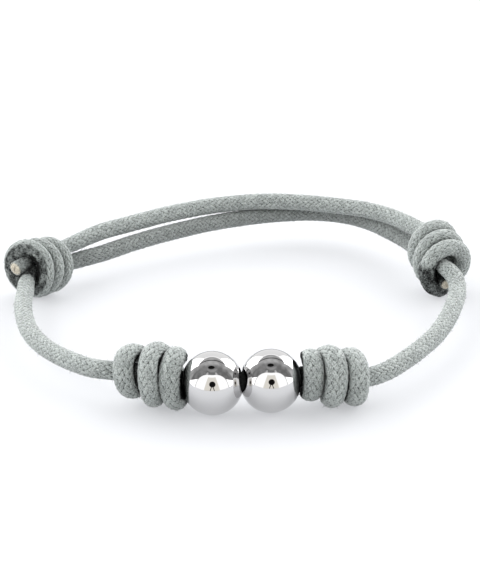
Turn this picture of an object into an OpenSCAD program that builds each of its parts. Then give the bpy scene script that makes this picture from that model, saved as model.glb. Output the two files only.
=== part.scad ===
// Waxed cord bracelet with two polished steel beads, two stopper knots and two sliding knots.
// Millimetres, X to the wearer's right, Y away from the beads, Z up from the surface it lies on.
// The origin is on that surface, at the middle of the bracelet's outline.

/* [Beads] */
// Diameter of each polished bead
bead_d = 8; // [7.9:0.1:8]
// Length of each bead over its rounded ends, before it is drilled
bead_l = 7.5; // [7.4:0.1:7.5]
// Diameter of the hole through each bead
bead_hole_d = 3.45; // [3.4:0.05:3.5]
// Distance between the middles of the two beads
bead_pitch = 7.25; // [7.25:0.05:7.35]
// How far the left and the right hole rise to the neighbour, in degrees
bead_left_lean = 7.5; // [6:0.5:7.5]
bead_right_lean = 4.8; // [3.8:0.5:4.8]

/* [Cord] */
// Diameter of the braided cord
cord_d = 2.4; // [2:0.1:2.4]

/* [Stopper knots] */
// Width of one turn, along the knot
stopper_turn_w = 2.65; // [2.3:0.05:2.65]
// Clear radius inside the turns
stopper_inner_r = 1.45; // [1.4:0.05:1.5]

/* [Sliding knots] */
// Width of one turn of the left knot, which is pulled tight
sliding_left_turn_w = 1.65; // [1.4:0.05:1.65]
// Width of one turn of the right knot
sliding_right_turn_w = 2.15; // [1.8:0.05:2.15]
// Clear radius inside the turns
sliding_inner_r = 2.2; // [2.2:0.05:2.4]

/* [Hidden] */

// The beads stand on the surface, and their contact lies a little right of the middle.
bead_z = bead_d / 2;
bead_mid = [0.3, -25.45, bead_z];
bead_skew = 0.6;
// How far each hole turns forward to its neighbour, in degrees.
bead_turn = 9;

// Steps of a bead's outline, sides of a tube's section, and steps of a coil for each turn.
bead_steps = 20;
cord_sides = 8;
turn_sides = 10;
turn_steps = 20;

// The cord's route, one row for each place: x, y, z and the share of the full diameter there.
// It is squeezed where it passes under the turns of a sliding knot.
front_route = [
    [-28.1, 8.6, 3.45, 0.86], [-29.35, 7.3, 3.72, 0.82], [-29.85, 5.9, 3.65, 0.87], [-29.9, 4.1, 3.4, 0.98],
    [-29.8, 2.0, 3.2, 1], [-29.7, -0.6, 3.3, 1], [-29.4, -3.1, 3.3, 1], [-28.8, -6.5, 3.4, 1],
    [-27.6, -10.6, 3.5, 1], [-25.6, -14.6, 3.6, 1], [-23.2, -17.8, 3.8, 1], [-20.8, -20.3, 4.0, 1],
    [-18.8, -22.0, 4.2, 1], [-16.5, -23.1, 4.4, 1], [-13.9, -23.5, 4.4, 1], [-11.1, -23.9, 4.15, 1],
    [-8.4, -24.3, 3.95, 1], [-6.6, -25.0, 3.75, 1], [-4.2, -25.6, 3.9, 1], [-1.6, -26.0, 4.2, 1],
    [0.3, -26.05, 4.4, 1], [2.2, -25.6, 4.3, 1], [4.8, -25.05, 4.05, 1], [7.2, -24.55, 4.05, 1],
    [8.7, -24.1, 4.38, 1], [11.5, -23.9, 4.05, 1], [14.3, -23.75, 3.65, 1], [15.6, -23.45, 3.5, 1],
    [17.0, -22.7, 3.4, 1], [18.6, -21.4, 3.4, 1], [20.8, -18.9, 3.4, 1], [23.3, -15.5, 3.4, 1],
    [25.8, -11.5, 3.4, 1], [28.0, -6.5, 3.5, 1], [29.3, -2.5, 3.6, 1], [30.1, 0.6, 3.8, 1],
    [30.35, 3.2, 4.2, 1], [30.1, 4.8, 4.6, 1], [29.45, 6.0, 4.95, 0.97], [28.85, 7.0, 5.05, 0.84],
    [28.5, 8.2, 5.2, 0.77], [28.85, 10.3, 5.9, 0.86]
];
lower_route = [
    [-28.1, 8.6, 3.45, 0.86], [-26.9, 10.0, 3.25, 0.86], [-25.8, 11.8, 3.1, 0.90], [-23.6, 13.1, 3.3, 0.98],
    [-20.2, 14.6, 3.7, 1], [-15.0, 18.2, 4.1, 1], [-9.6, 21.8, 4.2, 1], [-4.2, 24.8, 4.3, 1],
    [1.4, 27.1, 4.3, 1], [6.4, 28.4, 4.3, 1], [11.4, 28.6, 4.4, 1], [15.8, 27.6, 4.4, 1],
    [19.6, 25.2, 4.3, 1], [22.6, 21.6, 4.2, 1], [24.9, 18.2, 4.1, 1], [26.2, 15.4, 4.1, 0.95],
    [27.2, 13.5, 4.6, 0.78], [27.7, 12.2, 4.57, 0.70], [28.3, 10.1, 3.92, 0.70], [28.9, 8.0, 3.26, 0.70],
    [29.0, 6.8, 3.06, 0.72], [29.3, 5.9, 2.8, 0.76]
];
upper_route = [
    [28.85, 10.3, 5.9, 0.86], [28.1, 12.5, 6.57, 0.86], [27.25, 14.5, 6.9, 0.94], [25.9, 16.7, 6.9, 1],
    [24.1, 19.3, 6.9, 1], [21.6, 22.0, 6.9, 1], [18.2, 24.2, 6.9, 1], [14.4, 25.7, 6.8, 1],
    [9.8, 26.9, 6.8, 1], [4.8, 27.4, 6.8, 1], [-0.4, 27.0, 6.7, 1], [-5.6, 25.5, 6.6, 1],
    [-11.0, 22.8, 6.5, 1], [-16.2, 19.4, 6.4, 1], [-20.8, 16.4, 6.2, 1], [-23.8, 14.1, 5.7, 0.95],
    [-26.2, 12.0, 5.35, 0.82], [-27.8, 10.3, 5.0, 0.70], [-29.2, 9.1, 5.2, 0.70], [-30.3, 7.8, 5.3, 0.73],
    [-31.0, 6.8, 5.2, 0.82], [-31.5, 6.1, 5.1, 0.86]
];

// Each knot: its middle turn's centre, the step from one turn to the next, the way a turn faces,
// the outer radius of its three turns in that order, and the place in a turn, in turns up from
// the side, that is opposite the coil's ends.
stopper_left_at = [-11.0, -23.9, 4.15];
stopper_left_step = [2.8, -0.4, -0.2];
stopper_left_face = [1, -0.15, -0.05];
stopper_left_turns = [3.4, 4.1, 3.9];
stopper_left_middle = 0;
stopper_right_at = [11.5, -23.9, 4.05];
stopper_right_step = [2.8, 0.15, -0.38];
stopper_right_face = [1, 0.15, -0.1];
stopper_right_turns = [3.2, 4.05, 3.6];
stopper_right_middle = 0;
sliding_left_at = [-28.6, 8.8, 4.2];
sliding_left_step = [1.35, 1.25, -0.15];
sliding_left_face = [0.42, 0.91, -0.2];
sliding_left_turns = [4.35, 4.2, 4.0];
sliding_left_middle = 0.19;
sliding_right_at = [28.65, 10.2, 5.0];
sliding_right_step = [-0.7, 2.15, 0.7];
sliding_right_face = [-0.4, 0.92, 0];
sliding_right_turns = [4.25, 4.25, 4.05];
sliding_right_middle = -0.37;

function unit(v) = v / norm(v);
function place(row) = [row[0], row[1], row[2]];

// The cord's direction at a row, where the ends may be given a direction of their own.
function heading(route, i, first, last) =
    i == 0 ? unit(first)
    : i == len(route) - 1 ? unit(last)
    : unit(place(route[i + 1]) - place(route[i - 1]));

// One section of the cord, square to its heading.
function cord_section(row, dir) =
    let (side = unit(cross(dir, [0, 0, 1])), up = cross(side, dir), r = row[3] * cord_d / 2)
    [for (k = [0 : cord_sides - 1])
        let (a = 360 * (k + 0.5) / cord_sides)
        place(row) + r * cos(a) * side - r * sin(a) * up];

// A closed tube through rows of sections, each with the same number of points.
module tube(sections) {
    sides = len(sections[0]);
    rows = len(sections);
    sleeve = [for (i = [0 : rows - 2], k = [0 : sides - 1])
        let (a = i * sides + k, b = i * sides + (k + 1) % sides)
        each [[a, a + sides, b], [b, a + sides, b + sides]]];
    start_cap = [for (k = [0 : sides - 1]) k];
    end_cap = [for (k = [sides - 1 : -1 : 0]) (rows - 1) * sides + k];
    polyhedron([for (s = sections) each s], [each sleeve, start_cap, end_cap]);
}

module cord(route, first, last) {
    tube([for (i = [0 : len(route) - 1])
        cord_section(route[i], heading(route, i, first, last))]);
}

// A coil thins at both ends, where it goes under its neighbour.
end_turn = 0.12;
end_share = 0.5;
first_turn = -0.46;
last_turn = 2.46;
function fullness(s) =
    let (depth = max(0, first_turn + end_turn - s, s - last_turn + end_turn) / end_turn)
    1 - (1 - end_share) * depth;

// Three turns round the cord. A whole value of s is the middle of a turn, and the coil moves on
// by one step mostly where the ends are, so the rest of each turn is nearly flat.
module coil(at, step, face, outer, middle, inner_r, width, hand, back_step) {
    dir = unit(face);
    right = unit(cross(dir, [0, 0, 1]));
    up = cross(right, dir);
    radii = [for (i = [0 : len(outer) - 1]) [i, outer[i]]];
    tube([for (i = [0 : round((last_turn - first_turn) * turn_steps)])
        let (
            s = first_turn + i / turn_steps,
            full = fullness(s),
            angle = 360 * (s + middle),
            radial = cos(angle) * right + hand * sin(angle) * up,
            half_r = full * (lookup(s, radii) - inner_r) / 2,
            half_w = full * width / 2,
            tuck = (width / 2 - half_w) * (s < 1 ? 1 : -1),
            centre = at + (s - 1 - back_step * sin(360 * s) / (2 * PI)) * step + tuck * dir
        )
        [for (k = [0 : turn_sides - 1])
            let (a = hand * 360 * k / turn_sides)
            centre + (inner_r + half_r + half_r * cos(a)) * radial + half_w * sin(a) * dir]]);
}

// A slightly flattened ball round its hole: the rounded outside is turned about the hole's axis
// together with the straight wall of the hole.
module bead(side, lean) {
    rim = acos(bead_hole_d / bead_d);
    outline = [for (i = [0 : bead_steps])
        let (a = rim * (2 * i / bead_steps - 1))
        [cos(a) * bead_d / 2, sin(a) * bead_l / 2]];
    color("silver")
    translate(bead_mid + [bead_pitch, bead_skew, 0] * side / 2)
    rotate([0, 0, side * bead_turn])
    rotate([0, 90 + side * lean, 0])
    rotate_extrude($fn = 64) polygon(outline);
}

module bead_left() { bead(-1, bead_left_lean); }
module bead_right() { bead(1, bead_right_lean); }

module front_cord() {
    color("lightgray") cord(front_route, -sliding_left_step, sliding_right_step);
}

module lower_back_cord() {
    color("darkgray") cord(lower_route, sliding_left_step, [0.4, -1, -0.2]);
}

module upper_back_cord() {
    color("darkgray") cord(upper_route, sliding_right_step, [-0.7, -0.8, -0.1]);
}

module stopper_knot_left() {
    color("lightgray")
    coil(stopper_left_at, stopper_left_step, stopper_left_face, stopper_left_turns, stopper_left_middle,
        stopper_inner_r, stopper_turn_w, 1, 0.8);
}

module stopper_knot_right() {
    color("lightgray")
    coil(stopper_right_at, stopper_right_step, stopper_right_face, stopper_right_turns, stopper_right_middle,
        stopper_inner_r, stopper_turn_w, -1, 0.9);
}

module sliding_knot_left() {
    color("gray")
    coil(sliding_left_at, sliding_left_step, sliding_left_face, sliding_left_turns, sliding_left_middle,
        sliding_inner_r, sliding_left_turn_w, 1, 0.6);
}

module sliding_knot_right() {
    color("gray")
    coil(sliding_right_at, sliding_right_step, sliding_right_face, sliding_right_turns, sliding_right_middle,
        sliding_inner_r, sliding_right_turn_w, -1, 0.6);
}

bead_left();
bead_right();
front_cord();
lower_back_cord();
upper_back_cord();
stopper_knot_left();
stopper_knot_right();
sliding_knot_left();
sliding_knot_right();
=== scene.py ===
from collections import namedtuple
import math

import bpy
import numpy as np
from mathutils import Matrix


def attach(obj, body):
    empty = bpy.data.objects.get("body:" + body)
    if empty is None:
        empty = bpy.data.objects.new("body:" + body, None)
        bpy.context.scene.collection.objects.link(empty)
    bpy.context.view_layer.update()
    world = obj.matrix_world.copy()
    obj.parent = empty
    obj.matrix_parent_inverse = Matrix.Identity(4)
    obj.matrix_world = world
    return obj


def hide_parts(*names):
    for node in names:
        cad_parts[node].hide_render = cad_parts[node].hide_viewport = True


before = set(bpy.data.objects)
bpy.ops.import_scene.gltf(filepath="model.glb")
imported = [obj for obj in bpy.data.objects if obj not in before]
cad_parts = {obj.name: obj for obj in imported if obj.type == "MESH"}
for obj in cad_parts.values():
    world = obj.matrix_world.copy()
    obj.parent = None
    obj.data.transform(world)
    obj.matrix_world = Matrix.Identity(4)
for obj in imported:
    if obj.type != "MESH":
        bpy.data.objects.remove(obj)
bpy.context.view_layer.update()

# Sizes below are written in millimetres and become metres with MM.
MM = 0.001
UP = np.array([0.0, 0.0, 1.0])

# Camera: the picture's frame, its focal length in pixels and the pixel that looks straight ahead.
FRAME_PX = (480, 587)
FOCAL_PX = 1620
AHEAD_PX = (240, 291)
CAMERA_AT = np.array([0.1, -202.0, 98.7]) * MM
CAMERA_PITCH = 25  # degrees down from level
SENSOR_MM = 36
CLIP_NEAR, CLIP_FAR = 0.005, 20  # metres from the camera


def make_camera():
    data = bpy.data.cameras.new("camera")
    longest = max(FRAME_PX)
    data.sensor_width = SENSOR_MM
    data.lens = FOCAL_PX / longest * data.sensor_width
    data.shift_x = (FRAME_PX[0] / 2 - AHEAD_PX[0]) / longest
    data.shift_y = (AHEAD_PX[1] - FRAME_PX[1] / 2) / longest
    data.clip_start = CLIP_NEAR
    data.clip_end = CLIP_FAR
    camera = bpy.data.objects.new("camera", data)
    camera.location = CAMERA_AT
    camera.rotation_euler = (math.radians(90 - CAMERA_PITCH), 0, 0)
    bpy.context.scene.collection.objects.link(camera)
    bpy.context.scene.camera = camera


# The cord: its diameter, and the braid of 24 strands, each over two and under two.
CORD_D = 2.4 * MM
EACH_WAY = 12  # strands that go round each way
BRAID_LEAD = 10.4 * MM  # the length in which a strand goes round once
STRAND_WAVE = 0.05 * MM  # how far a strand rises and dives
STRAND_CROWN = 0.07 * MM  # how far a strand's edges lie under its middle
CROWN_POWER = 2.4  # the higher it is, the flatter is a strand's middle
RELIEF_LIFT = 0.03 * MM  # how far the crowns stand over the cord's measured diameter
RING_STEP = 0.1 * MM
RING_SIDES = 80
ROUTE_BLUR = 0.6 * MM  # how far along a route its corners are rounded

# The routes of the cords, in rows of x, y, z and the share of the full diameter.
FRONT_ROUTE = [
    (-28.1, 8.6, 3.45, 0.86), (-29.35, 7.3, 3.72, 0.82), (-29.85, 5.9, 3.65, 0.87), (-29.9, 4.1, 3.4, 0.98),
    (-29.8, 2.0, 3.2, 1), (-29.7, -0.6, 3.3, 1), (-29.4, -3.1, 3.3, 1), (-28.8, -6.5, 3.4, 1),
    (-27.6, -10.6, 3.5, 1), (-25.6, -14.6, 3.6, 1), (-23.2, -17.8, 3.8, 1), (-20.8, -20.3, 4.0, 1),
    (-18.8, -22.0, 4.2, 1), (-16.5, -23.1, 4.4, 1), (-13.9, -23.5, 4.4, 1), (-11.1, -23.9, 4.15, 1),
    (-8.4, -24.3, 3.95, 1), (-6.6, -25.0, 3.75, 1), (-4.2, -25.6, 3.9, 1), (-1.6, -26.0, 4.2, 1),
    (0.3, -26.05, 4.4, 1), (2.2, -25.6, 4.3, 1), (4.8, -25.05, 4.05, 1), (7.2, -24.55, 4.05, 1),
    (8.7, -24.1, 4.38, 1), (11.5, -23.9, 4.05, 1), (14.3, -23.75, 3.65, 1), (15.6, -23.45, 3.5, 1),
    (17.0, -22.7, 3.4, 1), (18.6, -21.4, 3.4, 1), (20.8, -18.9, 3.4, 1), (23.3, -15.5, 3.4, 1),
    (25.8, -11.5, 3.4, 1), (28.0, -6.5, 3.5, 1), (29.3, -2.5, 3.6, 1), (30.1, 0.6, 3.8, 1),
    (30.35, 3.2, 4.2, 1), (30.1, 4.8, 4.6, 1), (29.45, 6.0, 4.95, 0.97), (28.85, 7.0, 5.05, 0.84),
    (28.5, 8.2, 5.2, 0.77), (28.85, 10.3, 5.9, 0.86),
]
LOWER_ROUTE = [
    (-28.1, 8.6, 3.45, 0.86), (-26.9, 10.0, 3.25, 0.86), (-25.8, 11.8, 3.1, 0.90), (-23.6, 13.1, 3.3, 0.98),
    (-20.2, 14.6, 3.7, 1), (-15.0, 18.2, 4.1, 1), (-9.6, 21.8, 4.2, 1), (-4.2, 24.8, 4.3, 1),
    (1.4, 27.1, 4.3, 1), (6.4, 28.4, 4.3, 1), (11.4, 28.6, 4.4, 1), (15.8, 27.6, 4.4, 1),
    (19.6, 25.2, 4.3, 1), (22.6, 21.6, 4.2, 1), (24.9, 18.2, 4.1, 1), (26.2, 15.4, 4.1, 0.95),
    (27.2, 13.5, 4.6, 0.78), (27.7, 12.2, 4.57, 0.70), (28.3, 10.1, 3.92, 0.70), (28.9, 8.0, 3.26, 0.70),
    (29.0, 6.8, 3.06, 0.72), (29.3, 5.9, 2.8, 0.76),
]
UPPER_ROUTE = [
    (28.85, 10.3, 5.9, 0.86), (28.1, 12.5, 6.57, 0.86), (27.25, 14.5, 6.9, 0.94), (25.9, 16.7, 6.9, 1),
    (24.1, 19.3, 6.9, 1), (21.6, 22.0, 6.9, 1), (18.2, 24.2, 6.9, 1), (14.4, 25.7, 6.8, 1),
    (9.8, 26.9, 6.8, 1), (4.8, 27.4, 6.8, 1), (-0.4, 27.0, 6.7, 1), (-5.6, 25.5, 6.6, 1),
    (-11.0, 22.8, 6.5, 1), (-16.2, 19.4, 6.4, 1), (-20.8, 16.4, 6.2, 1), (-23.8, 14.1, 5.7, 0.95),
    (-26.2, 12.0, 5.35, 0.82), (-27.8, 10.3, 5.0, 0.70), (-29.2, 9.1, 5.2, 0.70), (-30.3, 7.8, 5.3, 0.73),
    (-31.0, 6.8, 5.2, 0.82), (-31.5, 6.1, 5.1, 0.86),
]


def unit(v):
    return v / np.linalg.norm(v, axis=-1, keepdims=True)


def fade(value, low, high):
    """0 at low and beyond it, 1 at high and beyond it, with low above or below high."""
    return np.clip((value - low) / (high - low), 0, 1)


def along_of(points):
    """The length along a line of points, from 0 at its start."""
    return np.concatenate([[0], np.cumsum(np.linalg.norm(np.diff(points, axis=0), axis=1))])


def resampled(rows, step):
    """The rows at even steps along their line of points, the first three columns."""
    along = along_of(rows[:, :3])
    at = np.linspace(0, along[-1], round(along[-1] / step) + 1)
    return np.stack([np.interp(at, along, column) for column in rows.T], 1)


def smooth_route(route, step, blur=ROUTE_BLUR):
    """A route as even, smooth rows of x, y, z in metres and the share of the diameter."""
    rows = np.array(route) * (MM, MM, MM, 1)
    along = along_of(rows[:, :3])
    slope = np.gradient(rows, along, axis=0)
    at = np.linspace(0, along[-1], round(along[-1] / step) * 4)
    i = np.clip(np.searchsorted(along, at, side="right") - 1, 0, len(along) - 2)
    gap = (along[i + 1] - along[i])[:, None]
    t = (at - along[i])[:, None] / gap
    curve = (
        (1 + 2 * t) * (1 - t) ** 2 * rows[i]
        + t * (1 - t) ** 2 * gap * slope[i]
        + t * t * (3 - 2 * t) * rows[i + 1]
        + t * t * (t - 1) * gap * slope[i + 1]
    )
    curve = resampled(curve, step)
    reach = round(3 * blur / step)
    weights = np.exp(-0.5 * (np.arange(-reach, reach + 1) * step / blur) ** 2)
    weights /= weights.sum()
    ends = np.concatenate([
        2 * curve[0] - curve[reach:0:-1], curve, 2 * curve[-1] - curve[-2:-reach - 2:-1]])
    smooth = np.stack([np.convolve(column, weights, "valid") for column in ends.T], 1)
    return resampled(smooth, step)


def turning_frames(points, first_side):
    """A side and an up vector square to the line at each point, which never twist about it."""
    ahead = unit(np.gradient(points, axis=0))
    side = first_side - ahead[0] * (first_side @ ahead[0])
    sides = []
    for direction in ahead:
        side = side - direction * (side @ direction)
        side = side / math.sqrt(side @ side)
        sides.append(side)
    sides = np.array(sides)
    return sides, np.cross(sides, ahead)


# The braid is a little uneven. Each row says how much, and the shortest and the longest wave of it.
SWAY = (0.10, 2 * MM, 14 * MM)  # in strand widths, to one side of the cord
PINCH = (0.08, 1.5 * MM, 9 * MM)  # in strand widths, on two opposite sides
SPIN = (0.02, 6 * MM, 40 * MM)  # in turns, the whole braid about the cord
LUMPS = (0.018 * MM, 1.2 * MM, 6 * MM)  # in the height of the skin
SWAY_START = 1.3  # radians about the cord
LUMPS_TURN = 3  # radians about the cord for each millimetre along it
UNEVEN_AROUND, UNEVEN_ALONG = 0.15, 0.85  # how it is shared between the two directions
NOISE_WAVES = 6
NOISE_GAIN = 0.7


def uneven(x, seed, kind):
    """Smooth random values along x, up to about a kind's size and with waves of its lengths."""
    size, shortest, longest = kind
    draw = np.random.default_rng(seed)
    total = np.zeros_like(x)
    for length in np.geomspace(shortest, longest, NOISE_WAVES):
        total += np.sin(2 * math.pi * (x / length + draw.random())) * math.sqrt(2 / NOISE_WAVES)
    return size * (total * NOISE_GAIN)


def weave_place(around, along, seed):
    """The place on the braid, in turns about the cord and leads along it, a little uneven."""
    turn = 2 * math.pi * around
    loose = uneven(along, seed + 1, SWAY) * np.sin(turn + SWAY_START)
    loose += uneven(along, seed + 2, PINCH) * np.cos(2 * turn)
    leads = along / BRAID_LEAD - UNEVEN_ALONG * loose / EACH_WAY
    return around + UNEVEN_AROUND * loose / EACH_WAY, leads


def braid_relief(around, leads):
    """How far the surface lies under the crown of a strand."""
    right, left = EACH_WAY * (around - leads), EACH_WAY * (around + leads)
    i, j = np.floor(right + 0.5), np.floor(left + 0.5)
    step = (i + j) % 4
    right_shows = step < 1.5
    across = np.where(right_shows, right - i, left - j)
    onward = np.where(right_shows, left - j + step - 0.5, right - i + step - 2.5)
    wave = STRAND_WAVE * (np.cos(math.pi / 2 * onward) - 1)
    return wave - STRAND_CROWN * np.abs(2 * across) ** CROWN_POWER


def add_mesh(name, points, faces, attributes):
    """A smooth mesh object with attributes on its points."""
    mesh = bpy.data.meshes.new(name)
    mesh.from_pydata(points.tolist(), [], faces)
    for key, values in attributes.items():
        if values.ndim == 1:
            mesh.attributes.new(key, "FLOAT", "POINT").data.foreach_set("value", values)
        else:
            made = mesh.attributes.new(key, "FLOAT_VECTOR", "POINT")
            made.data.foreach_set("vector", values.astype(np.float32).ravel())
    mesh.polygons.foreach_set("use_smooth", np.ones(len(mesh.polygons), bool))
    mesh.update()
    made = bpy.data.objects.new(name, mesh)
    bpy.context.scene.collection.objects.link(made)
    return made


def tube_faces(rings, sides):
    ring = np.arange(sides)
    one = np.stack([ring, np.roll(ring, -1), np.roll(ring, -1) + sides, ring + sides], 1)
    return (one[None] + (np.arange(rings - 1) * sides)[:, None, None]).reshape(-1, 4)


FUZZ_SPACING = 0.63 * MM  # one fibre stands out of each square of this side
FUZZ_THICK = 0.015 * MM  # the radius of a fibre at its root
FUZZ_SHORTEST, FUZZ_LONGEST = 0.15, 0.6  # in millimetres
FIBRE_POINTS = 7
FIBRE_OUT = 0.7  # how strongly a fibre leans out of the skin
FIBRE_BEND = 0.4
FIBRE_TAPER = 0.8  # how thick a fibre still is at its middle


def fuzz(skin, out, draw):
    """Fine fibres that stand out of a skin: the points of each and the point that it grows from."""
    rings, sides = skin.shape[:2]
    girth = np.linalg.norm(np.diff(skin, axis=1), axis=-1).sum(1).mean()
    count = round(girth * rings * RING_STEP / FUZZ_SPACING ** 2)
    at = draw.integers(0, rings * sides, count)
    root, normal = skin.reshape(-1, 3)[at], out.reshape(-1, 3)[at]
    way = unit(FIBRE_OUT * normal + unit(draw.normal(size=(count, 3))))
    side = unit(np.cross(way, normal + 0.1))
    length = draw.uniform(FUZZ_SHORTEST, FUZZ_LONGEST, (count, 1)) * MM
    middle = root + way * length * 0.5
    tip = middle + unit(way + FIBRE_BEND * draw.normal(size=(count, 3))) * length * 0.5
    points = []
    for place, thick in ((root, FUZZ_THICK), (middle, FUZZ_THICK * FIBRE_TAPER)):
        for corner in range(3):
            turn = 2 * math.pi * corner / 3
            points.append(place + thick * (math.cos(turn) * side + math.sin(turn) * np.cross(way, side)))
    points.append(tip)
    return np.stack(points, 1), at


def fuzz_faces(first, count):
    """The faces of fibres whose points start at a number: three sides and three at the tip."""
    corners = ((0, 1, 4, 3), (1, 2, 5, 4), (2, 0, 3, 5), (3, 4, 6), (4, 5, 6), (5, 3, 6))
    return [[first + FIBRE_POINTS * i + c for c in face] for i in range(count) for face in corners]


CUT_BULGE = 0.22 * MM
CUT_RAGGED = 0.05 * MM
CUT_HOOPS, PLAIN_HOOPS = 6, 2


def end_cap(skin, middle, ahead, is_cut, seed):
    """Rings that close a tube's end, and the point at its middle: ragged and bulging on a cut."""
    draw = np.random.default_rng(seed)
    hoops = CUT_HOOPS if is_cut else PLAIN_HOOPS
    bulge = CUT_BULGE if is_cut else 0
    rings = []
    for hoop in range(1, hoops):
        share = 1 - hoop / hoops
        ragged = draw.normal(0, CUT_RAGGED, len(skin)) if is_cut and hoop > 1 else np.zeros(len(skin))
        out = bulge * (1 - share ** 2) + ragged
        rings.append(middle + (skin - middle) * share + out[:, None] * ahead)
    return rings, middle + bulge * ahead


def tube_skin(middle, half_side, half_up, side, up, seed, twist):
    """The points of a tube's braided skin, the ways out of it, and their places on the weave."""
    along = along_of(middle)[:, None]
    around = (np.arange(RING_SIDES) / RING_SIDES)[None]
    angle = 2 * math.pi * around
    spin = twist * along / MM + uneven(along, seed + 5, SPIN)
    weave_turns, leads = weave_place(around + spin, along + 0 * around, seed)
    lumps = uneven(along, seed + 7, LUMPS) * np.cos(angle + LUMPS_TURN * along / MM)
    relief = braid_relief(weave_turns, leads) + lumps + RELIEF_LIFT
    out = unit(
        np.cos(angle)[..., None] * side[:, None] * half_up[:, None, None]
        + np.sin(angle)[..., None] * up[:, None] * half_side[:, None, None]
    )
    skin = (
        middle[:, None]
        + (np.cos(angle) * half_side[:, None])[..., None] * side[:, None]
        + (np.sin(angle) * half_up[:, None])[..., None] * up[:, None]
        + relief[..., None] * out
    )
    turn = 2 * math.pi * weave_turns
    return skin, out, np.stack([np.cos(turn), np.sin(turn), leads], -1)


class Tube:
    """A braided tube's points, with the weave, painted shade and bare core at each, and its faces."""

    def __init__(self, skin, weave, dirt):
        self.skin, self.weave, self.dirt = skin, weave, dirt
        self.points, self.weaves, self.dirts, self.cores = [], [], [], []
        self.total = 0
        self.faces = tube_faces(len(skin), RING_SIDES)[:, ::-1].tolist()
        self.add(skin, weave, dirt, 0)

    def add(self, points, weave, dirt, core):
        """Adds points and returns the number of the first of them."""
        first = self.total
        self.points.append(points.reshape(-1, 3))
        self.weaves.append(weave.reshape(-1, 3))
        self.dirts.append(dirt.ravel())
        self.cores.append(np.full(dirt.size, float(core)))
        self.total += dirt.size
        return first

    def close(self, end, middle, is_cut, seed):
        """Closes the tube at its start, with end 0, or at its end, with end 1."""
        row, inward = (-1, -2) if end else (0, 1)
        weave, dirt = self.weave[row], self.dirt[row]
        ahead = unit(middle[row] - middle[inward])
        rings, tip = end_cap(self.skin[row], middle[row], ahead, is_cut, seed)
        last = np.arange(RING_SIDES) + (self.dirt.size - RING_SIDES if end else 0)
        for number, ring in enumerate(rings):
            core = is_cut * (1.0 if number else 0.5)
            new = self.add(ring, weave, dirt, core) + np.arange(RING_SIDES)
            strip = np.stack([last, np.roll(last, -1), np.roll(new, -1), new], 1)
            self.faces += (strip[:, ::-1] if end else strip).tolist()
            last = new
        point = self.add(tip, weave[:1], dirt[:1], is_cut)
        fan = [[int(a), int(b), point] for a, b in zip(last, np.roll(last, -1))]
        self.faces += [face[::-1] for face in fan] if end else fan

    def grow_fibres(self, out, seed):
        """Adds the fibres that stand out of the skin, with the colours of their roots."""
        fibres, roots = fuzz(self.skin, out, np.random.default_rng(seed))
        weave = np.repeat(self.weave.reshape(-1, 3)[roots], FIBRE_POINTS, axis=0)
        first = self.add(fibres, weave, np.repeat(self.dirt.ravel()[roots], FIBRE_POINTS), 0)
        self.faces += fuzz_faces(first, len(roots))

    def make_piece(self, name):
        facts = {
            "weave": np.concatenate(self.weaves),
            # The painted shade at each point, which the cord's material darkens.
            "painted_shade": np.concatenate(self.dirts),
            "core": np.concatenate(self.cores),
        }
        return add_mesh(name, np.concatenate(self.points), self.faces, facts)


def braided_tube(name, middle, half_side, half_up, side, up, seed, twist, painted_shade, cuts=(False, False)):
    """A closed tube with the braid in its surface, round or oval, along a line of middles.

    The painted shade, from 0 to 1, at each point of the skin comes from the function passed in, and
    cuts says for each end whether it is a cut that shows, with its core bare.
    """
    skin, out, weave = tube_skin(middle, half_side, half_up, side, up, seed, twist)
    tube = Tube(skin, weave, painted_shade(skin / MM))
    for end in (0, 1):
        tube.close(end, middle, cuts[end], seed + 11)
    tube.grow_fibres(out, seed + 17)
    return tube.make_piece(name)


def make_cord(node, route, seed, twist, cuts, painted_shade):
    """One of the bracelet's cords along its route, in place of the CAD's piece, which is hidden."""
    rows = smooth_route(route, RING_STEP)
    middle, share = rows[:, :3], rows[:, 3]
    side, up = turning_frames(middle, np.cross(UP, middle[1] - middle[0]))
    radius = share * CORD_D / 2
    piece = braided_tube(node + "_braid", middle, radius, radius, side, up, seed, twist, painted_shade, cuts)
    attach(piece, "root")
    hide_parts(node)
    return piece


# Painted shade is worked out in millimetres. The beads meet at BEADS_MEET_X, and the cord in front of
# FRONT_Y is that of the beads.
BEADS_MEET_X = 0.2
FRONT_Y = -20


def from_beads(at):
    """How far a place is from where the beads meet, to the left or to the right."""
    return np.abs(at[..., 0] - BEADS_MEET_X)


def front_cord_grime(at):
    """Painted shade between the stopper knots, in and between the beads, and under both sliding knots'
    turns.
    """
    x, y = at[..., 0], at[..., 1]
    beads = fade(from_beads(at), 8.1, 7.5) * (y < FRONT_Y)
    left_knot = 0.62 * fade(y, 4.5, 5.4) * (x < 0)
    right_knot = 0.7 * fade(y, 7.2, 8.0) * (x > 0)
    return beads + left_knot + right_knot


def lower_cord_grime(at):
    """Painted shade inside the right sliding knot and on the end that comes out of it."""
    return 0.65 * fade(at[..., 1], 14.5, 13.5) * (at[..., 0] > 0)


def upper_cord_grime(at):
    """Painted shade inside the left sliding knot, and less on the end that comes out of it."""
    x, y = at[..., 0], at[..., 1]
    return (0.45 + 0.15 * fade(y, 6.6, 8.0)) * fade(y, 12.5, 11.5) * (x < 0)


def left_stopper_grime(at, offset, turn):
    """Painted shade on the side of the left stopper knot that faces its bead, most of it in front."""
    reach = np.linalg.norm(offset, axis=-1)
    apart = from_beads(at)
    edge = 2.5 + 1.4 * fade(offset[..., 1], 0.5, -1.0)
    edge = edge - np.clip(np.abs(at[..., 2] - 4.0) - 1.1, 0, None)
    front = fade(apart, 7.75, 7.25) * fade(reach, edge, edge - 0.4)
    face = 0.65 * fade(apart, 7.15, 6.75) * fade(reach, 3.8, 3.3)
    return np.maximum(front, face)


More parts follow.
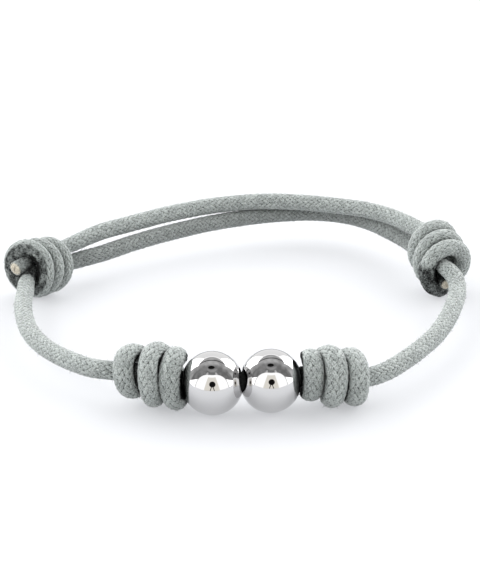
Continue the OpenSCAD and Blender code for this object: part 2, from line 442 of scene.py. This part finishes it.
def right_stopper_grime(at, offset, turn):
    """Painted shade on the side of the right stopper knot that faces its bead."""
    reach = np.linalg.norm(offset, axis=-1)
    return fade(from_beads(at), 7.95, 7.45) * fade(reach, 3.3, 2.9)


OPENING_TURN = 0.6  # the first turn of a sliding knot, up to here, is the rim of its opening


def worn_opening_grime(at, offset, turn):
    """Painted shade in the opening of the left sliding knot, most of it at the right, with its rim left
    light.
    """
    reach = np.linalg.norm(offset, axis=-1)
    right = fade(offset[..., 0], 0.0, 0.9)
    inside = 0.56 * fade(reach, 4.1, 3.8)
    deep = (0.06 + 0.38 * right) * fade(reach, 2.9, 2.3)
    return (inside + deep) * (turn < OPENING_TURN)


def opening_grime(at, offset, turn):
    """Painted shade in the opening of the right sliding knot, and on its first turn low and to the left."""
    reach = np.linalg.norm(offset, axis=-1) + 0.35 * offset[..., 0]
    low = -(offset[..., 0] + offset[..., 2]) / math.sqrt(2)
    both = 0.75 * fade(reach, 2.9, 2.2) + 0.62 * fade(low, 0.2, 2.2)
    most = 0.62 + 0.25 * fade(reach, 2.2, 1.9)
    return np.minimum(both, most) * (turn < OPENING_TURN)


# Painted shade in the creases between a knot's turns.
CREASE_EDGE = (0.84, 0.99)  # where a crease starts and is full, in half widths of a turn


def crease_grime(sideways, turn, creases):
    """Painted shade in the first and the second crease between the turns of a knot."""
    middle = (turn > 0.5) * (turn < 1.5)
    onward = (turn < 0.5) * creases[0] + middle * creases[1]
    back = (turn > 1.5) * creases[1] + middle * creases[0]
    return fade(sideways, *CREASE_EDGE) * onward + fade(-sideways, *CREASE_EDGE) * back


# Each knot's coil of three turns: its middle turn's centre, the step from turn to turn, the way
# a turn faces, the place in a turn that is opposite the coil's ends, and for the three turns the
# inner and the outer radius, the width, how far it is shifted along the knot and up, and how far
# its top and its back lean along the knot. Then the way it is wound, how much of each step is
# made at the back, how much painted shade its two creases hold, and its painted shade elsewhere.
KNOTS = {
    "stopper_knot_left": dict(
        at=(-11.0, -23.9, 4.15), step=(2.8, -0.4, -0.2), face=(1, -0.15, -0.05), middle=0,
        inner=(1.45, 1.45, 1.45), outer=(3.25, 4.25, 3.95), width=(2.72, 2.6, 2.7),
        along=(0.27, 0.47, 0.45), rise=(0, 0.15, 0), lean=(-0.75, -0.6, -0.6), yaw=(0.2, 0.1, 0.35),
        hand=1, back_step=0.8, creases=(0.95, 0.95), painted_shade=left_stopper_grime),
    "stopper_knot_right": dict(
        at=(11.5, -23.9, 4.05), step=(2.8, 0.15, -0.38), face=(1, 0.15, -0.1), middle=0,
        inner=(1.45, 1.45, 1.45), outer=(3.2, 4.12, 3.55), width=(2.6, 2.8, 2.7),
        along=(0.12, 0, 0), rise=(-0.1, 0, 0), lean=(0, 0.1, 0), yaw=(0, 0, 0),
        hand=-1, back_step=0.9, creases=(0.55, 0.8), painted_shade=right_stopper_grime),
    "sliding_knot_left": dict(
        at=(-28.6, 8.8, 4.2), step=(1.35, 1.25, -0.15), face=(0.42, 0.91, -0.2), middle=0.19,
        inner=(1.75, 2.1, 2.2), outer=(4.35, 4.2, 4.0), width=(1.75, 1.75, 1.75),
        along=(0, 0, 0), rise=(0, 0, 0), lean=(0, 0, 0), yaw=(0, 0, 0),
        hand=1, back_step=0.6, creases=(0.45, 0.45), painted_shade=worn_opening_grime),
    "sliding_knot_right": dict(
        at=(28.65, 10.2, 5.0), step=(-0.7, 2.15, 0.7), face=(-0.4, 0.92, 0), middle=-0.37,
        inner=(1.85, 2.1, 2.2), outer=(4.25, 4.25, 4.05), width=(2.25, 2.25, 2.25),
        along=(0, 0, 0), rise=(0, 0, 0), lean=(0, 0, 0), yaw=(0, 0, 0),
        hand=-1, back_step=0.6, creases=(0.45, 0.45), painted_shade=opening_grime),
}
FIRST_TURN, LAST_TURN = -0.46, 2.46
END_TURN, END_SHARE = 0.12, 0.5
END_HELD = 0.2  # the place in the first and last turn from which the coil tucks back
END_BACK = 0.5  # how far it goes back there, in steps for each turn
COIL_STEPS = 4000
COIL_TWIST = 0.01  # in turns for each millimetre


def wind_coil(
    at, step, facing, middle, inner, outer, width, along, rise, lean, yaw, hand, back_step
):
    """A knot's wound line in millimetres, in even steps: its points, the ways out from the coil's
    own middle, that middle, the turns, and half the cord's height and width."""
    right = unit(np.cross(facing, UP))
    up = np.cross(right, facing)
    s = np.linspace(FIRST_TURN, LAST_TURN, COIL_STEPS)
    turn = 2 * math.pi * (s + middle)
    depth = np.maximum(FIRST_TURN + END_TURN - s, s - LAST_TURN + END_TURN) / END_TURN
    full = 1 - (1 - END_SHARE) * np.clip(depth, 0, None)
    radial = np.cos(turn)[:, None] * right + hand * np.sin(turn)[:, None] * up
    inner, outer, width, along, rise, lean, yaw = (
        np.interp(s, range(3), facts) for facts in (inner, outer, width, along, rise, lean, yaw))
    half_r = full * (outer - inner) / 2
    half_w = full * width / 2
    tuck = (width / 2 - half_w) * np.where(s < 1, 1, -1)
    held = np.clip(s, -END_HELD, 2 + END_HELD)
    onward = held - END_BACK * (s - held) - 1 - back_step * np.sin(2 * math.pi * held) / (2 * math.pi)
    shift = along + lean * hand * np.sin(turn) - yaw * np.cos(turn) + tuck
    axis = np.array(at) + onward[:, None] * np.array(step) + shift[:, None] * facing
    axis = axis + rise[:, None] * UP
    line = axis + (inner + half_r)[:, None] * radial
    rows = resampled(np.column_stack([line, radial, axis, s, half_r, half_w]), RING_STEP / MM)
    return np.split(rows, [3, 6, 9, 10, 11], 1)


def make_knot(node, seed, face, creases, painted_shade, **shape):
    """A knot's three turns, wound from the same braided cord."""
    facing = unit(np.array(face, float))
    line, radial, axis, s, half_r, half_w = wind_coil(facing=facing, **shape)
    ahead = unit(np.gradient(line, axis=0))
    radial = unit(radial - ahead * (radial * ahead).sum(1, keepdims=True))

    # Painted shade on the knot: in its creases and where its own function puts it.
    def knot_grime(skin):
        sideways = (skin - line[:, None]) @ facing / half_w
        return np.maximum(painted_shade(skin, skin - axis[:, None], s), crease_grime(sideways, s, creases))

    piece = braided_tube(
        node + "_braid", line * MM, half_r[:, 0] * MM, half_w[:, 0] * MM, radial, np.cross(radial, ahead),
        seed, COIL_TWIST, knot_grime)
    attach(piece, "root")
    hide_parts(node)
    return piece


# The beads: slightly flattened polished balls, drilled through, with a small rounding at the hole.
BEAD_D = 8.0 * MM
BEAD_L = 7.72 * MM
BEAD_HOLE_D = 3.0 * MM
BEAD_EDGE = 0.05 * MM
BEAD_MID = np.array([0.3, -25.45, 4.0]) * MM
BEAD_PITCH = np.array([7.2, 0.6, 0.0]) * MM
BEAD_TURNS = {-1: 4, 1: 1}  # degrees that the left and the right hole turn forward to the other
BEAD_LEANS = {-1: 9, 1: 7.5}  # degrees that they rise to the other
BEAD_SIDES = 160
SKIN_STEPS, EDGE_STEPS, BORE_STEPS = 97, 9, 12


def bead_profile():
    """The bead's section as rows of radius and height, round the outside and back through the hole."""
    hole = BEAD_HOLE_D / 2
    rim = math.acos((hole + BEAD_EDGE) / (BEAD_D / 2))
    angle = np.linspace(-rim, rim, SKIN_STEPS)
    skin = np.stack([np.cos(angle) * BEAD_D / 2, np.sin(angle) * BEAD_L / 2], 1)
    start = skin[-1]
    corner = np.array([hole, start[1] + 0.3 * BEAD_EDGE])
    end = np.array([hole, start[1] - BEAD_EDGE])
    t = np.linspace(0, 1, EDGE_STEPS)[1:, None]
    top = (1 - t) ** 2 * start + 2 * t * (1 - t) * corner + t * t * end
    bore = np.stack([np.full(BORE_STEPS, hole), np.linspace(end[1], -end[1], BORE_STEPS)], 1)[1:-1]
    return np.concatenate([skin, top, bore, (top * (1, -1))[::-1]])


def make_bead(node, side):
    """The left bead with side -1, or the right one with side 1."""
    profile = bead_profile()
    rows = len(profile)
    lean = math.radians(BEAD_LEANS[side] * side)
    turn = math.radians(BEAD_TURNS[side] * side)
    axis = np.array([math.cos(lean) * math.cos(turn), math.cos(lean) * math.sin(turn), -math.sin(lean)])
    one = unit(np.cross(axis, UP))
    two = np.cross(axis, one)
    angle = 2 * math.pi * np.arange(BEAD_SIDES) / BEAD_SIDES
    ring = np.cos(angle)[:, None] * one + np.sin(angle)[:, None] * two
    points = BEAD_MID + BEAD_PITCH * side / 2 + profile[:, None, :1] * ring + profile[:, None, 1:] * axis
    faces = tube_faces(rows + 1, BEAD_SIDES) % (rows * BEAD_SIDES)
    piece = add_mesh(node + "_ball", points.reshape(-1, 3), faces.tolist(), {})
    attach(piece, "root")
    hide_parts(node)
    return piece


class Nodes:
    """Makes shader nodes in a few words; a value is a number, a colour or another node's output."""

    def __init__(self, tree):
        self.tree = tree
        tree.nodes.clear()

    def add(self, kind, settings=None, **inputs):
        node = self.tree.nodes.new(kind)
        for key, value in (settings or {}).items():
            setattr(node, key, value)
        for key, value in inputs.items():
            self.set(node, key.replace("_", " "), value)
        return node

    def set(self, node, key, value):
        socket = node.inputs[int(key)] if key.isdigit() else node.inputs[key]
        if isinstance(value, bpy.types.NodeSocket):
            self.tree.links.new(value, socket)
        else:
            socket.default_value = value

    def math(self, operation, *values):
        node = self.add("ShaderNodeMath", {"operation": operation})
        for i, value in enumerate(values):
            self.set(node, str(i), value)
        return node.outputs[0]

    def plus(self, first, second):
        return self.math("ADD", first, second)

    def minus(self, first, second):
        return self.math("SUBTRACT", first, second)

    def times(self, *values):
        product = values[0]
        for value in values[1:]:
            product = self.math("MULTIPLY", product, value)
        return product

    def size(self, value):
        return self.math("ABSOLUTE", value)

    def blend(self, share, first, second):
        """A number between first and second."""
        return self.math("MULTIPLY_ADD", share, self.minus(second, first), first)

    def ramp(self, value, low, high, to_low=0.0, to_high=1.0):
        """to_low under low, to_high over high, and smooth between them."""
        node = self.add("ShaderNodeMapRange", {"interpolation_type": "SMOOTHSTEP"})
        for i, number in enumerate((value, low, high, to_low, to_high)):
            self.set(node, str(i), number)
        return node.outputs[0]

    def mix(self, share, first, second):
        """A colour between first and second."""
        node = self.add("ShaderNodeMix", {"data_type": "RGBA"})
        self.set(node, "0", share)
        for key, value in (("6", first), ("7", second)):
            self.set(node, key, value)
        return node.outputs[2]

    def vector(self, x, y, z):
        return self.add("ShaderNodeCombineXYZ", X=x, Y=y, Z=z).outputs[0]

    def oval(self, first, middle, half, second, second_middle, second_half, soft=0.1):
        """1 inside an oval with these middles and half widths, 0 outside it, with a soft edge."""
        a = self.math("POWER", self.times(self.minus(first, middle), 1 / half), 2.0)
        b = self.math("POWER", self.times(self.minus(second, second_middle), 1 / second_half), 2.0)
        return self.ramp(self.plus(a, b), 1 + soft, 1 - soft)

    def noise(self, vector, scale, detail=2.0, roughness=0.5):
        node = self.add("ShaderNodeTexNoise", Scale=scale, Detail=detail, Roughness=roughness)
        self.set(node, "Vector", vector)
        return node.outputs["Fac"]

    def attribute(self, name):
        return self.add("ShaderNodeAttribute", {"attribute_name": name})

    def scaled(self, vector, factors):
        node = self.add("ShaderNodeVectorMath", {"operation": "MULTIPLY"})
        self.set(node, "0", vector)
        self.set(node, "1", factors)
        return node.outputs[0]


def new_material(name):
    material = bpy.data.materials.new(name)
    material.use_nodes = True
    return material, Nodes(material.node_tree)


# The strand that shows at a place: the place across it and onward along its float, a number of its
# own, how far the place is from its side and from the float's end, and from the nearer of the two.
Strand = namedtuple("Strand", "across onward own beside before edge")


def make_strand(n):
    weave = n.attribute("weave").outputs["Vector"]
    cosine, sine, leads = n.add("ShaderNodeSeparateXYZ", Vector=weave).outputs[:3]
    around = n.times(n.math("ARCTAN2", sine, cosine), 1 / (2 * math.pi))
    right = n.times(n.minus(around, leads), EACH_WAY)
    left = n.times(n.plus(around, leads), EACH_WAY)
    i, j = (n.math("FLOOR", n.plus(value, 0.5)) for value in (right, left))
    step = n.math("FLOORED_MODULO", n.plus(i, j), 4.0)
    shows = n.math("LESS_THAN", step, 1.5)
    right_place, left_place = n.minus(right, i), n.minus(left, j)
    across = n.blend(shows, left_place, right_place)
    onward = n.plus(n.blend(shows, right_place, left_place), n.minus(step, n.blend(shows, 2.5, 0.5)))
    strand = n.blend(shows, j, i)
    start = n.minus(n.plus(n.blend(shows, i, j), n.blend(shows, 2.0, 0.0)), n.plus(step, strand))
    key = n.vector(n.math("FLOORED_MODULO", strand, float(EACH_WAY)), start, shows)
    own = n.add("ShaderNodeTexWhiteNoise", Vector=key).outputs["Value"]
    beside = n.minus(0.5, n.size(across))
    before = n.minus(1.0, n.size(onward))
    return Strand(across, onward, own, beside, before, n.math("MINIMUM", beside, before))


LINT = (0.8, 0.83, 0.82, 1)
# Painted shade: the near-black colours of the grooves between strands and of the pinholes.
GROOVE_SHADE = (0.04, 0.045, 0.043, 1)
PINHOLE_SHADE = (0.01, 0.011, 0.01, 1)
# The near-black colour of the painted shade that the mesh marks.
PAINTED_SHADE_COLOUR = (0.004, 0.004, 0.004, 1)
CORE_LIGHT = (0.74, 0.68, 0.55, 1)
CORE_DARK = (0.30, 0.28, 0.24, 1)


# The cord's noises: waves for each metre, and the detail and roughness where they aren't 2 and 0.5.
SPECKS = (6500.0, 3.0, 0.75)
LINT_SPOTS = (8000.0, 1.0)
PATCHY_SPOTS = (1100.0,)
BROKEN_SPOTS = (2600.0,)
YARNS = (8.0, 1.3, 57.0)  # waves across a strand, along it, and from strand to strand

# Where each mark starts and is full, how far the broken noise leaves it, and how much it covers.
TONE = (0.42, 0.69)
TONE_SPECKS, TONE_YARNS, TONE_OWN = 0.85, 0.22, 0.06
LINT_AT, LINT_COVER = (0.62, 0.74), 0.45
GROOVE_AT, GROOVE_LEFT, GROOVE_COVER = (0.11, 0.02), (0.44, 0.60, 0.08, 1.0), 0.85
PINHOLE_AT, PINHOLE_LEFT, PINHOLE_COVER = (0.37, 0.15), (0.38, 0.52, 0.15, 1.0), 0.95
# Where the painted shade starts and is full, how much it covers, and how much specks and patchy noise
# roughen its edge.
SHADE_AT, SHADE_COVER = (0.3, 0.75), 0.98
SHADE_SPECKS, SHADE_PATCHY = 1.3, 0.6
CORE_AT = (0.35, 0.65)

# The cord's roughness between two levels of its specks, its gloss and sheen where it is unshaded and
# where painted shade covers it, and its bump.
ROUGH = (0.3, 0.7, 0.55, 0.75)
GLOSS = (0.3, 0.03)
SHEEN, SHEEN_ROUGH = (0.3, 0.0), 0.4
BUMP_YARNS, BUMP_SPECKS, BUMP_EDGE = 0.5, 0.5, 0.8
BUMP_EDGE_AT = (0.0, 0.3)  # in strand widths from the edge
BUMP_STRENGTH, BUMP_DEPTH = 0.5, 0.05 * MM


def clean_braid(n, place, strand, specks, yarns, light, dark):
    """The colour of the braid: fine yarns and specks, pale lint, and painted shade in the grooves and
    pinholes.
    """
    broken = n.noise(place, *BROKEN_SPOTS)
    groove_shade_mask = n.times(n.ramp(strand.edge, *GROOVE_AT), n.ramp(broken, *GROOVE_LEFT))
    corner = n.plus(strand.beside, strand.before)
    pinhole_shade_mask = n.times(n.ramp(corner, *PINHOLE_AT), n.ramp(broken, *PINHOLE_LEFT))
    tone = n.times(specks, TONE_SPECKS)
    tone = n.math("MULTIPLY_ADD", yarns, TONE_YARNS, tone)
    tone = n.math("MULTIPLY_ADD", strand.own, TONE_OWN, tone)
    colour = n.mix(n.ramp(tone, *TONE), dark, light)
    lint = n.ramp(n.noise(place, *LINT_SPOTS), *LINT_AT)
    colour = n.mix(n.times(lint, LINT_COVER), colour, LINT)
    colour = n.mix(n.times(groove_shade_mask, GROOVE_COVER), colour, GROOVE_SHADE)
    return n.mix(n.times(pinhole_shade_mask, PINHOLE_COVER), colour, PINHOLE_SHADE)


def dirt_share(n, place, specks):
    """How much painted shade each place has, from 0 to 1: the mesh's painted shade with an uneven edge."""
    painted_shade = n.attribute("painted_shade").outputs["Fac"]
    patchy = n.noise(place, *PATCHY_SPOTS)
    dirt = n.plus(painted_shade, n.times(n.minus(specks, 0.5), SHADE_SPECKS))
    dirt = n.plus(dirt, n.times(n.minus(patchy, 0.5), SHADE_PATCHY))
    return n.ramp(dirt, *SHADE_AT)


def strand_bump(n, edge, specks, yarns):
    """The fine relief of the yarns and specks, with each strand's edges a little lower."""
    relief = n.math("MULTIPLY_ADD", yarns, BUMP_YARNS, n.times(specks, BUMP_SPECKS))
    relief = n.math("MULTIPLY_ADD", n.ramp(edge, *BUMP_EDGE_AT), BUMP_EDGE, relief)
    bump = n.add("ShaderNodeBump", Strength=BUMP_STRENGTH, Distance=BUMP_DEPTH, Height=relief)
    return bump.outputs[0]


def cord_material(name, light, dark):
    """Waxed cotton braid, with painted shade where the mesh has it and a cream core on the cut ends."""
    material, n = new_material(name)
    place = n.add("ShaderNodeTexCoord").outputs["Object"]
    strand = make_strand(n)
    specks = n.noise(place, *SPECKS)
    yarns = n.noise(n.vector(*(n.times(fact, scale) for fact, scale in zip(strand, YARNS))), 1.0)
    dirt = dirt_share(n, place, specks)
    colour = clean_braid(n, place, strand, specks, yarns, light, dark)
    # Painted shade laid over the braid's colour.
    colour = n.mix(n.times(dirt, SHADE_COVER), colour, PAINTED_SHADE_COLOUR)
    cream = n.mix(n.ramp(specks, *CORE_AT), CORE_LIGHT, CORE_DARK)
    colour = n.mix(n.attribute("core").outputs["Fac"], colour, cream)
    surface = n.add("ShaderNodeBsdfPrincipled")
    for key, value in (
        ("Base Color", colour), ("Roughness", n.ramp(specks, *ROUGH)),
        ("Normal", strand_bump(n, strand.edge, specks, yarns)),
        ("Specular IOR Level", n.ramp(dirt, 0.0, 1.0, *GLOSS)),
        ("Sheen Weight", n.ramp(dirt, 0.0, 1.0, *SHEEN)), ("Sheen Roughness", SHEEN_ROUGH),
    ):
        n.set(surface, key, value)
    out = n.add("ShaderNodeOutputMaterial")
    n.tree.links.new(surface.outputs[0], out.inputs[0])
    return material


STEEL_DULL = (0.60, 0.597, 0.60, 1)
STEEL_BRIGHT = (0.64, 0.636, 0.636, 1)
# Painted dark reflection of the shaded stopper knot on each bead's outer side: its colour, where it starts
# and is full, and its cover.
DARK_KNOT_REFLECTION = (0.04, 0.039, 0.037, 1)
REFLECTION_FROM, REFLECTION_FULL = 6.3 * MM, 6.85 * MM  # from the middle of the pair, along X
REFLECTION_COVER = 0.85
SMEARS = (260.0, 3.0, 0.6)
HAIRS = (9000.0, 700.0, 1800.0)  # waves for each metre along X, Y and Z
POLISHED, SMEARED = 0.018, 0.03  # the steel's roughness, and what a smear adds to it


def bead_material():
    """Steel polished to a mirror, with faint smears and hairlines from the polishing, and a painted
    dark reflection of the shaded stopper knot on the side that faces it."""
    material, n = new_material("polished_steel")
    place = n.add("ShaderNodeTexCoord").outputs["Object"]
    smears = n.noise(place, *SMEARS)
    hairs = n.noise(n.scaled(place, HAIRS), 1.0)
    rough = n.math("MULTIPLY_ADD", n.ramp(smears, 0.4, 0.75), SMEARED, POLISHED)
    bump = n.add("ShaderNodeBump", Strength=0.02, Distance=0.002 * MM, Height=hairs)
    colour = n.mix(smears, STEEL_DULL, STEEL_BRIGHT)
    across = n.add("ShaderNodeSeparateXYZ", Vector=place).outputs[0]
    outward = n.size(n.minus(across, BEAD_MID[0]))
    knot_reflection = n.ramp(outward, REFLECTION_FROM, REFLECTION_FULL, 0.0, REFLECTION_COVER)
    colour = n.mix(knot_reflection, colour, DARK_KNOT_REFLECTION)
    surface = n.add("ShaderNodeBsdfPrincipled", Metallic=1.0, Roughness=rough)
    n.set(surface, "Base Color", colour)
    n.set(surface, "Normal", bump.outputs[0])
    out = n.add("ShaderNodeOutputMaterial")
    n.tree.links.new(surface.outputs[0], out.inputs[0])
    return material


FLOOR_REACH = 4.0  # metres to each side
FLOOR_COLOUR = (0.33, 0.334, 0.345, 1)
FLOOR_GLOW_COLOUR = (0.955, 0.97, 1.0, 1)
FLOOR_GLOW = 0.42


def make_floor():
    """A white table that glows faintly, as one lit from below does."""
    mesh = bpy.data.meshes.new("floor")
    corners = [(x * FLOOR_REACH, y * FLOOR_REACH, 0) for x, y in ((-1, -1), (1, -1), (1, 1), (-1, 1))]
    mesh.from_pydata(corners, [], [(0, 1, 2, 3)])
    floor = bpy.data.objects.new("floor", mesh)
    bpy.context.scene.collection.objects.link(floor)
    material, n = new_material("pale_floor")
    surface = n.add("ShaderNodeBsdfPrincipled", Roughness=0.9)
    for key, value in (
        ("Base Color", FLOOR_COLOUR), ("Specular IOR Level", 0.1),
        ("Emission Color", FLOOR_GLOW_COLOUR), ("Emission Strength", FLOOR_GLOW),
    ):
        n.set(surface, key, value)
    out = n.add("ShaderNodeOutputMaterial")
    n.tree.links.new(surface.outputs[0], out.inputs[0])
    mesh.materials.append(material)


# The brightness and colours of the tent's parts. Their edges are in degrees in the functions below.
WHITE = 1.62
SIDE_WHITE = 3.2
REAR_WHITE = 5.0
REAR_MIDDLE = 1.15
EDGE_LINE = 0.35
SEAM = 0.08
CREAM = (1.11, 1.07, 0.98, 1)
BLACK = (0.01, 0.01, 0.01, 1)

# A direction in the tent: the vector and its x, y and z, then in degrees to the right of straight
# in front, to either side of it, up, and over the top.
Way = namedtuple("Way", "vector x y z right aside up over")


def make_way(n):
    vector = n.add("ShaderNodeTexCoord").outputs["Generated"]
    x, y, z = n.add("ShaderNodeSeparateXYZ", Vector=vector).outputs[:3]
    right = n.times(n.math("ARCTAN2", x, n.times(y, -1.0)), 180 / math.pi)
    up = n.times(n.math("ARCSINE", z), 180 / math.pi)
    over = n.times(n.math("ARCTAN2", z, n.times(y, -1.0)), 180 / math.pi)
    return Way(vector, x, y, z, right, n.size(right), up, over)


def cloth_glow(n, way):
    """Grey cloth overhead, with a brighter patch at each side and one high in front."""
    cloth = n.noise(way.vector, 3.5, 3.0)
    glow = n.times(n.ramp(way.over, 86, 104, 0.27, 0.55), n.ramp(cloth, 0.3, 0.7, 0.75, 1.25))
    glow = n.blend(n.times(n.oval(way.aside, 31, 7, way.up, 57, 6, 0.6), 0.7), glow, 0.9)
    return n.blend(n.times(n.oval(way.up, 71, 4, way.aside, 0, 60, 0.6), 0.5), glow, 0.55)


def panel_glow(n, way, glow):
    """The white panels: two at the back with a greyer one between them, a seam, and the sides."""
    low = n.ramp(way.up, 47, 43)
    glow = n.blend(n.times(n.ramp(way.aside, 112, 118), low), glow, REAR_WHITE)
    glow = n.blend(n.times(n.ramp(way.aside, 148, 153), low), glow, REAR_MIDDLE)
    seam = n.times(n.ramp(way.over, 114, 115), n.ramp(way.over, 119, 118), n.ramp(way.aside, 100, 120))
    glow = n.blend(n.times(seam, n.ramp(way.up, 44, 47)), glow, SEAM)
    side_top = n.minus(19, n.times(n.minus(way.aside, 74), 0.7))
    side = n.ramp(n.minus(way.up, side_top), 1, -1)
    side = n.times(side, n.ramp(way.aside, 62, 64), n.ramp(way.aside, 109, 107))
    return n.blend(side, glow, SIDE_WHITE)


def arch_glow(n, way, glow):
    """The arch of white in front, with a dark line along its edge."""
    arch = n.math("POWER", n.times(n.math("MAXIMUM", way.up, 0.0), 1 / 56), 3.0)
    arch = n.plus(arch, n.math("POWER", n.times(way.aside, 1 / 64), 3.0))
    line = n.times(n.ramp(arch, 0.98, 1.0), n.ramp(arch, 1.14, 1.1), n.ramp(way.up, 38, 34))
    glow = n.blend(n.times(line, n.ramp(way.aside, 78, 74)), glow, EDGE_LINE)
    return n.blend(n.ramp(arch, 1.02, 0.98), glow, WHITE)


def opening_colour(n, way, colour):
    """The cream opening in the arch, a dark lens on two legs in it, and a dark one overhead."""
    opening_side = n.plus(20, n.times(n.minus(47, way.up), 0.2))
    opening = n.times(n.ramp(n.minus(way.aside, opening_side), 1, -1), n.ramp(way.up, 48, 46))
    colour = n.mix(opening, colour, CREAM)
    spread = n.plus(3, n.times(n.minus(14, way.up), 0.35))
    leg = n.size(n.minus(n.size(n.minus(way.right, 1.5)), spread))
    legs = n.times(n.ramp(leg, 1.9, 1.1), n.ramp(way.up, 16, 14))
    colour = n.mix(legs, colour, BLACK)
    colour = n.mix(n.oval(way.right, 2, 13, way.up, 23, 10.5), colour, BLACK)
    overhead = n.oval(way.x, -0.03, 0.19, way.y, -0.08, 0.12, 0.25)
    return n.mix(n.times(overhead, n.ramp(way.z, 0.8, 0.9)), colour, BLACK)


def make_studio():
    """A white light tent round the bracelet, which lights it and shows in the beads."""
    world = bpy.data.worlds.new("studio")
    bpy.context.scene.world = world
    world.use_nodes = True
    n = Nodes(world.node_tree)
    way = make_way(n)
    glow = arch_glow(n, way, panel_glow(n, way, cloth_glow(n, way)))
    colour = opening_colour(n, way, n.mix(1.0, BLACK, n.vector(glow, glow, glow)))
    background = n.add("ShaderNodeBackground", Strength=1.0)
    n.set(background, "Color", colour)
    out = n.add("ShaderNodeOutputWorld")
    n.tree.links.new(background.outputs[0], out.inputs[0])


def make_lamp(name, at, size, power):
    """A square soft lamp that looks at the bracelet and doesn't show in the beads."""
    data = bpy.data.lights.new(name, "AREA")
    data.size = size
    data.energy = power
    lamp = bpy.data.objects.new(name, data)
    lamp.location = at
    x, y, z = unit(np.array(at, float))
    lamp.rotation_euler = (math.acos(z), 0, math.atan2(y, x) + math.pi / 2)
    lamp.visible_glossy = False
    bpy.context.scene.collection.objects.link(lamp)


# Each cord's node, route, seed, twist in turns for each millimetre, cut ends and painted shade.
CORDS = (
    ("front_cord", FRONT_ROUTE, 10, 0.004, (False, False), front_cord_grime),
    ("lower_back_cord", LOWER_ROUTE, 20, 0.006, (False, True), lower_cord_grime),
    ("upper_back_cord", UPPER_ROUTE, 30, -0.005, (False, True), upper_cord_grime),
)
KNOT_SEEDS = range(40, 80, 10)

# The light and the dark colour of the cord, and of the lower back cord, which is painted darker
# as shade below the upper back cord.
CORD_COLOURS = (0.373, 0.403, 0.391, 1), (0.12, 0.135, 0.131, 1)
SHADED_CORD_COLOURS = (0.265, 0.286, 0.278, 1), (0.088, 0.099, 0.096, 1)

# Each lamp's place and side in metres, and its power in watts.
LAMPS = {
    "back_lamp": ((0.0, 0.45, 0.45), 0.9, 3.9),
    "left_lamp": ((-0.5, -0.05, 0.35), 0.5, 3.0),
    "right_lamp": ((0.5, -0.05, 0.35), 0.5, 1.9),
}

make_camera()
front, lower, upper = (make_cord(*facts) for facts in CORDS)
knots = [make_knot(node, seed, **facts) for (node, facts), seed in zip(KNOTS.items(), KNOT_SEEDS)]
beads = [make_bead("bead_left", -1), make_bead("bead_right", 1)]

waxed = cord_material("waxed_cord", *CORD_COLOURS)
# The lower back cord's colours are painted darker, as shade below the upper back cord.
shaded_cord = cord_material("waxed_cord_shaded", *SHADED_CORD_COLOURS)
steel = bead_material()
for pieces, material in (([front, upper] + knots, waxed), ([lower], shaded_cord), (beads, steel)):
    for piece in pieces:
        piece.data.materials.append(material)

make_floor()
make_studio()
for name, facts in LAMPS.items():
    make_lamp(name, *facts)
bpy.context.scene.view_settings.view_transform = "Standard"
